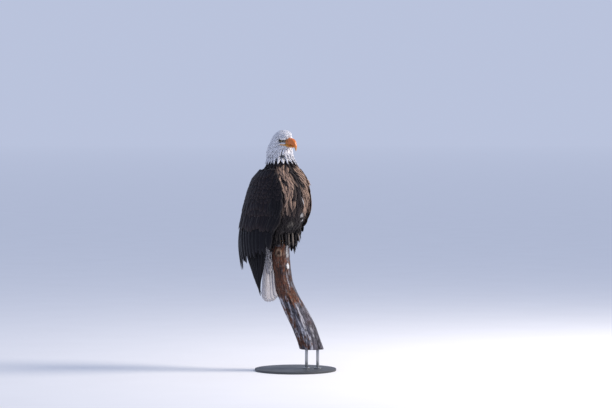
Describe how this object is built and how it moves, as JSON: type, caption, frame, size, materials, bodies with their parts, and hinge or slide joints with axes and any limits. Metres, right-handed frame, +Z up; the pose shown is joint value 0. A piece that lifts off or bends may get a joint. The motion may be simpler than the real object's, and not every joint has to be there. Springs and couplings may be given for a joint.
{
  "type": "perched bald eagle",
  "caption": "Life-size still model of a bald eagle resting with folded wings on the broken top of a leaning dead trunk, held by a round display base with short rods.",
  "frame": {"origin": "middle of the stand base's underside, where it rests on a floor or plinth", "axes": "+Z up; the bird faces -Y, so its right side is towards -X and its tail towards +Y"},
  "size_m": [0.3909, 0.4723, 1.123],
  "materials": {
    "white_feather": "soft white feathers",
    "brown_feather": "dark brown contour feathers with paler edges",
    "flight_feather": "blackish stiff flight feathers",
    "bill_horn": "orange-yellow horn with a dull sheen",
    "foot_skin": "yellow scaled skin",
    "claw_horn": "black horn",
    "eye": "clear, wet-looking pale yellow eye",
    "dead_wood": "weathered grey and reddish dead wood",
    "coated_steel": "satin light grey coating",
    "rod_steel": "plain drawn steel"
  },
  "bodies": {
    "root": {"head": "white_feather", "neck": "white_feather", "trunk": "brown_feather", "wing_right": "brown_feather", "wing_left": "brown_feather", "primaries_right": "flight_feather", "primaries_left": "flight_feather", "tail": "white_feather", "tail_coverts": "white_feather", "thigh_right": "brown_feather", "thigh_left": "brown_feather", "foot_right": "foot_skin", "foot_left": "foot_skin", "claw_right_inner": "claw_horn", "claw_right_middle": "claw_horn", "claw_right_outer": "claw_horn", "claw_right_hind": "claw_horn", "claw_left_inner": "claw_horn", "claw_left_middle": "claw_horn", "claw_left_outer": "claw_horn", "claw_left_hind": "claw_horn", "bill_upper": "bill_horn", "bill_lower": "bill_horn", "eye_right": "eye", "eye_left": "eye", "perch": "dead_wood", "stand_base": "coated_steel", "stand_flange_front": "rod_steel", "stand_flange_back": "rod_steel", "stand_rod_front": "rod_steel", "stand_rod_back": "rod_steel"}
  },
  "joints": []
}
